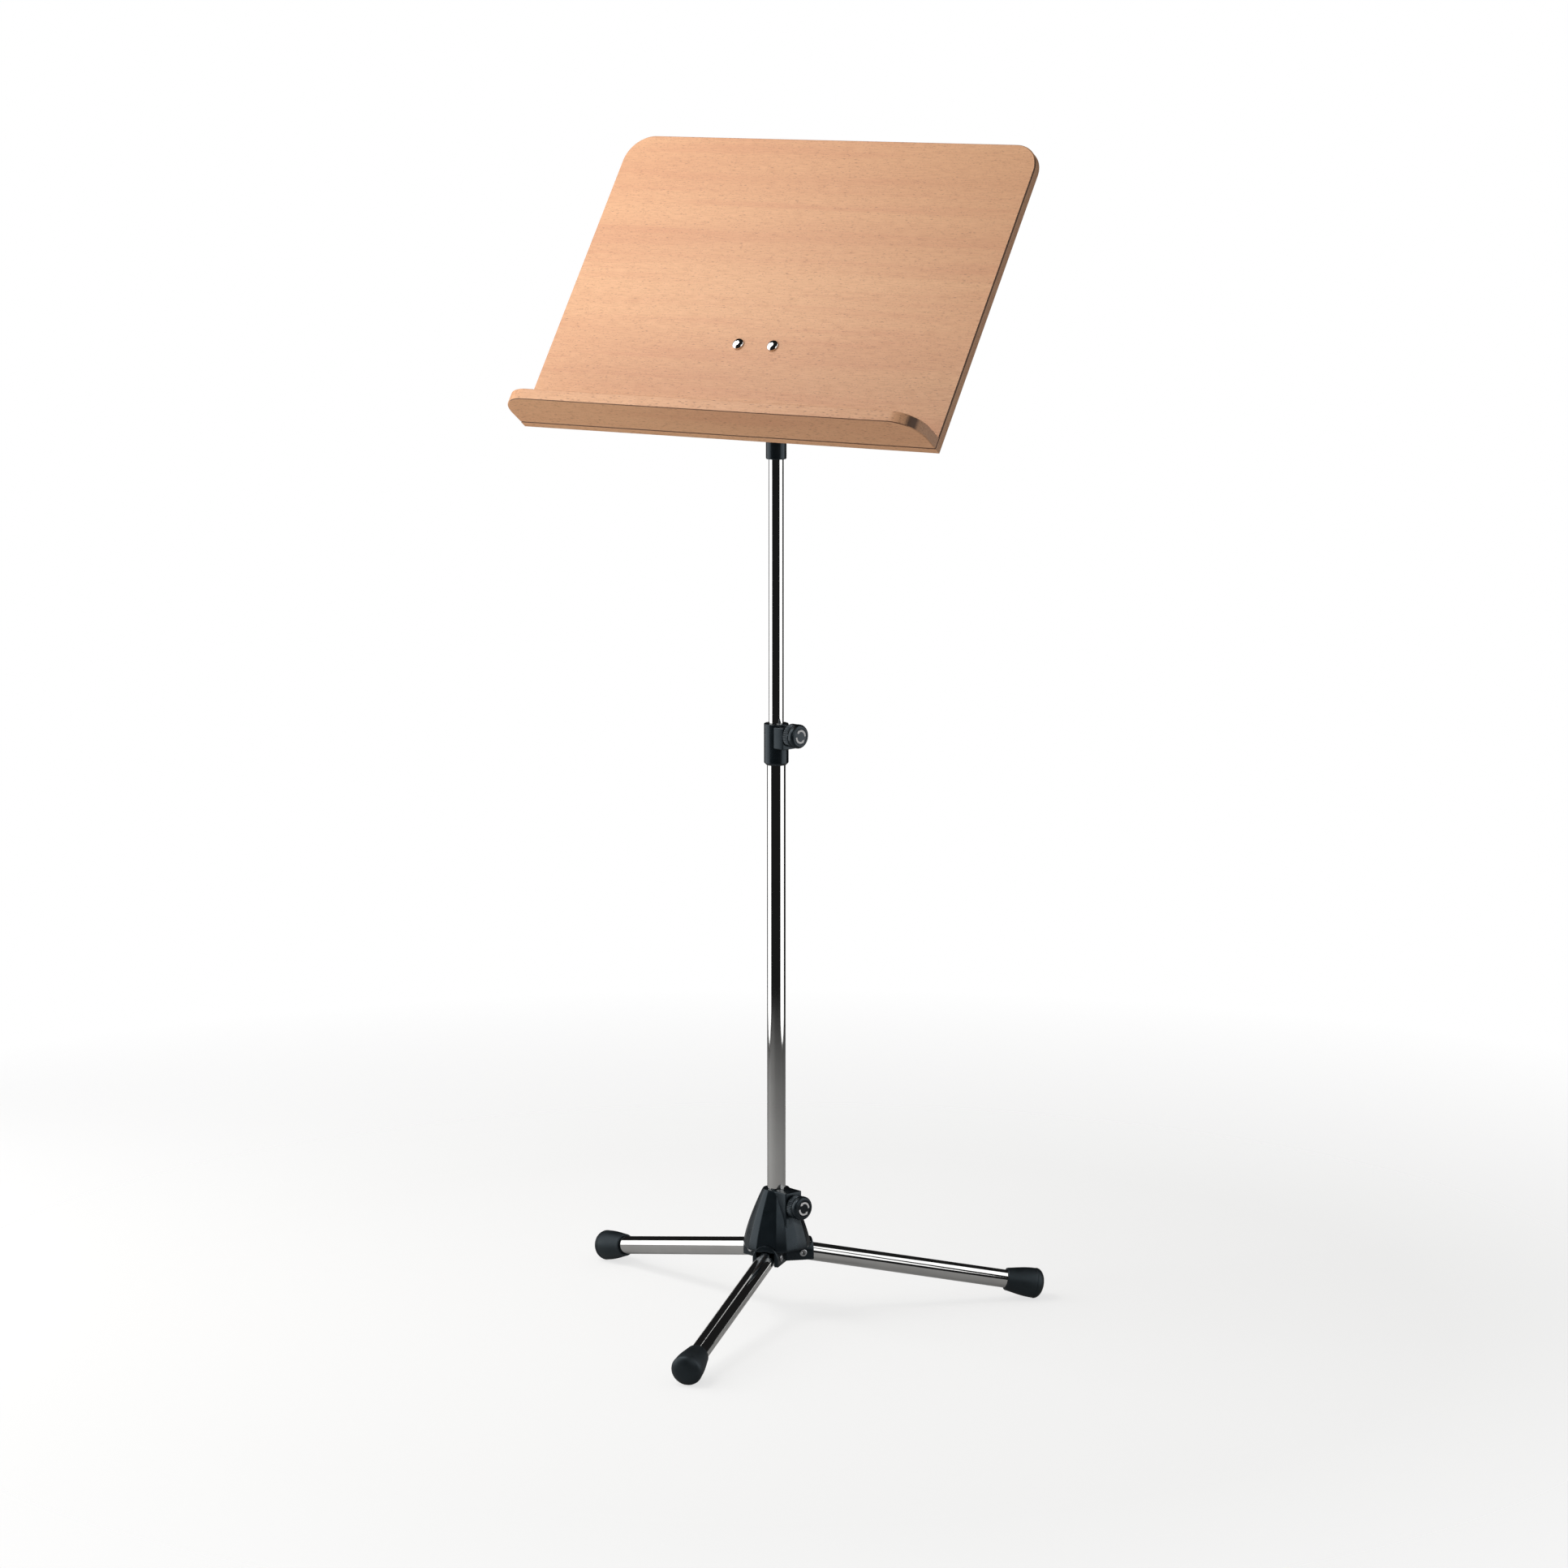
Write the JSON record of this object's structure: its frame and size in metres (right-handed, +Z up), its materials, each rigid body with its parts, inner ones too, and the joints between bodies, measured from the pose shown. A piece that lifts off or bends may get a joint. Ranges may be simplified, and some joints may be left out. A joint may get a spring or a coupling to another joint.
{
  "type": "music stand",
  "caption": "Orchestra music stand: tilting wooden desk with a ledge on a two-section chrome mast that clamps by knobs, over a hub with folding legs and rubber feet.",
  "frame": {"origin": "on the floor, at the centre of the bounding box's underside; the mast axis is 15.0 mm towards +X and 35.6 mm towards +Y of it", "axes": "+Z up; the desk faces -Y and its right-hand side, as a player sees it, is +X"},
  "size_m": [0.553, 0.5111, 1.2668],
  "materials": {
    "beech_board": "satin lacquered beech, fine horizontal grain",
    "beech_ledge": "satin lacquered beech",
    "chrome_tube": "polished chrome plate",
    "polished_bolt": "polished domed head",
    "black_plastic": "fine grained moulded nylon",
    "knob_cap": "glossy disc with a plain white ring of arrows",
    "foot_rubber": "satin moulded rubber",
    "white_nylon": "natural nylon",
    "zinc_steel": "bright zinc plate",
    "black_steel": "black powder coat, fine texture",
    "brass": "turned brass"
  },
  "bodies": {
    "base": {"base_hub": "black_plastic", "base_screw_insert": "brass", "leg_pin_right": "zinc_steel", "leg_pin_left": "zinc_steel", "leg_pin_front": "zinc_steel"},
    "leg_right": {"leg_tube_right": "chrome_tube", "leg_insert_right": "black_plastic", "leg_foot_right": "foot_rubber"},
    "leg_left": {"leg_tube_left": "chrome_tube", "leg_insert_left": "black_plastic", "leg_foot_left": "foot_rubber"},
    "leg_front": {"leg_tube_front": "chrome_tube", "leg_insert_front": "black_plastic", "leg_foot_front": "foot_rubber"},
    "base_pad": {"base_pressure_pad": "white_nylon"},
    "base_clamp": {"base_knob": "black_plastic", "base_knob_cap": "knob_cap", "base_clamp_screw": "zinc_steel"},
    "lower_mast": {"lower_tube": "chrome_tube", "lower_tube_plug": "black_plastic", "clamp_collar": "black_plastic", "guide_bush": "white_nylon", "height_screw_insert": "brass"},
    "height_pad": {"height_pressure_pad": "white_nylon"},
    "height_clamp": {"height_knob": "black_plastic", "height_knob_cap": "knob_cap", "height_clamp_screw": "zinc_steel"},
    "upper_mast": {"upper_tube": "chrome_tube", "slide_plug": "white_nylon"},
    "head": {"tilt_head": "black_plastic", "head_lock_screw": "zinc_steel"},
    "desk": {"desk_board": "beech_board", "desk_ledge": "beech_ledge", "desk_bracket": "black_steel", "desk_bolt_left": "polished_bolt", "desk_bolt_right": "polished_bolt", "desk_washer_left": "zinc_steel", "desk_washer_right": "zinc_steel", "desk_nut_left": "zinc_steel", "desk_nut_right": "zinc_steel", "ledge_screw_1": "zinc_steel", "ledge_screw_2": "zinc_steel", "ledge_screw_3": "zinc_steel", "ledge_screw_4": "zinc_steel", "tilt_bolt": "zinc_steel", "friction_washer_left": "white_nylon", "friction_washer_right": "white_nylon"},
    "tilt_washer": {"tilt_thrust_washer": "zinc_steel"},
    "tilt_clamp": {"tilt_knob": "black_plastic"}
  },
  "joints": [
    {"name": "leg_fold_right", "type": "hinge", "parent": "base", "child": "leg_right", "pos_m": [0.03404, 0.05472, 0.0685], "axis": [-0.7086, 0.7056, 0], "range_deg": [0, 78]},
    {"name": "leg_fold_left", "type": "hinge", "parent": "base", "child": "leg_left", "pos_m": [-0.01108, 0.04253, 0.0685], "axis": [-0.2568, -0.9665, 0], "range_deg": [0, 78]},
    {"name": "leg_fold_front", "type": "hinge", "parent": "base", "child": "leg_front", "pos_m": [0.02204, 0.00955, 0.0685], "axis": [0.9654, 0.2608, 0], "range_deg": [0, 78]},
    {"name": "mast_lift", "type": "slide", "parent": "base", "child": "lower_mast", "axis": [0, 0, 1], "range_m": [0, 0.06]},
    {"name": "base_pad_travel", "type": "slide", "parent": "base", "child": "base_pad", "axis": [0.9665, -0.2568, 0], "range_m": [0, 0.00187]},
    {"name": "base_knob_turn", "type": "hinge", "parent": "base_pad", "child": "base_clamp", "pos_m": [0.015, 0.0356, 0.1243], "axis": [0.9665, -0.2568, 0], "range_deg": [0, 540.1]},
    {"name": "height_pad_travel", "type": "slide", "parent": "lower_mast", "child": "height_pad", "axis": [0.9808, -0.1951, 0], "range_m": [0, 0.00187]},
    {"name": "height_knob_turn", "type": "hinge", "parent": "height_pad", "child": "height_clamp", "pos_m": [0.015, 0.0356, 0.6403], "axis": [0.9808, -0.1951, 0], "range_deg": [0, 540.1]},
    {"name": "height_slide", "type": "slide", "parent": "lower_mast", "child": "upper_mast", "axis": [0, 0, 1], "range_m": [-0.21, 0.22]},
    {"name": "desk_swivel", "type": "hinge", "parent": "upper_mast", "child": "head", "pos_m": [0.015, 0.0356, 0.97], "axis": [0, 0, 1], "continuous": true},
    {"name": "desk_tilt", "type": "hinge", "parent": "head", "child": "desk", "pos_m": [0.015, 0.0356, 1.0305], "axis": [-1, 0, 0], "range_deg": [-35, 55]},
    {"name": "tilt_washer_travel", "type": "slide", "parent": "desk", "child": "tilt_washer", "axis": [1, 0, 0], "range_m": [0, 0.00187]},
    {"name": "tilt_knob_turn", "type": "hinge", "parent": "tilt_washer", "child": "tilt_clamp", "pos_m": [0.015, 0.0356, 1.0305], "axis": [1, 0, 0], "range_deg": [0, 540.1]}
  ],
  "couplings": [
    {"joint": "base_knob_turn", "follows": "base_pad_travel", "rad_per_m": 5026.5},
    {"joint": "height_knob_turn", "follows": "height_pad_travel", "rad_per_m": 5026.5},
    {"joint": "tilt_knob_turn", "follows": "tilt_washer_travel", "rad_per_m": 5026.5}
  ]
}
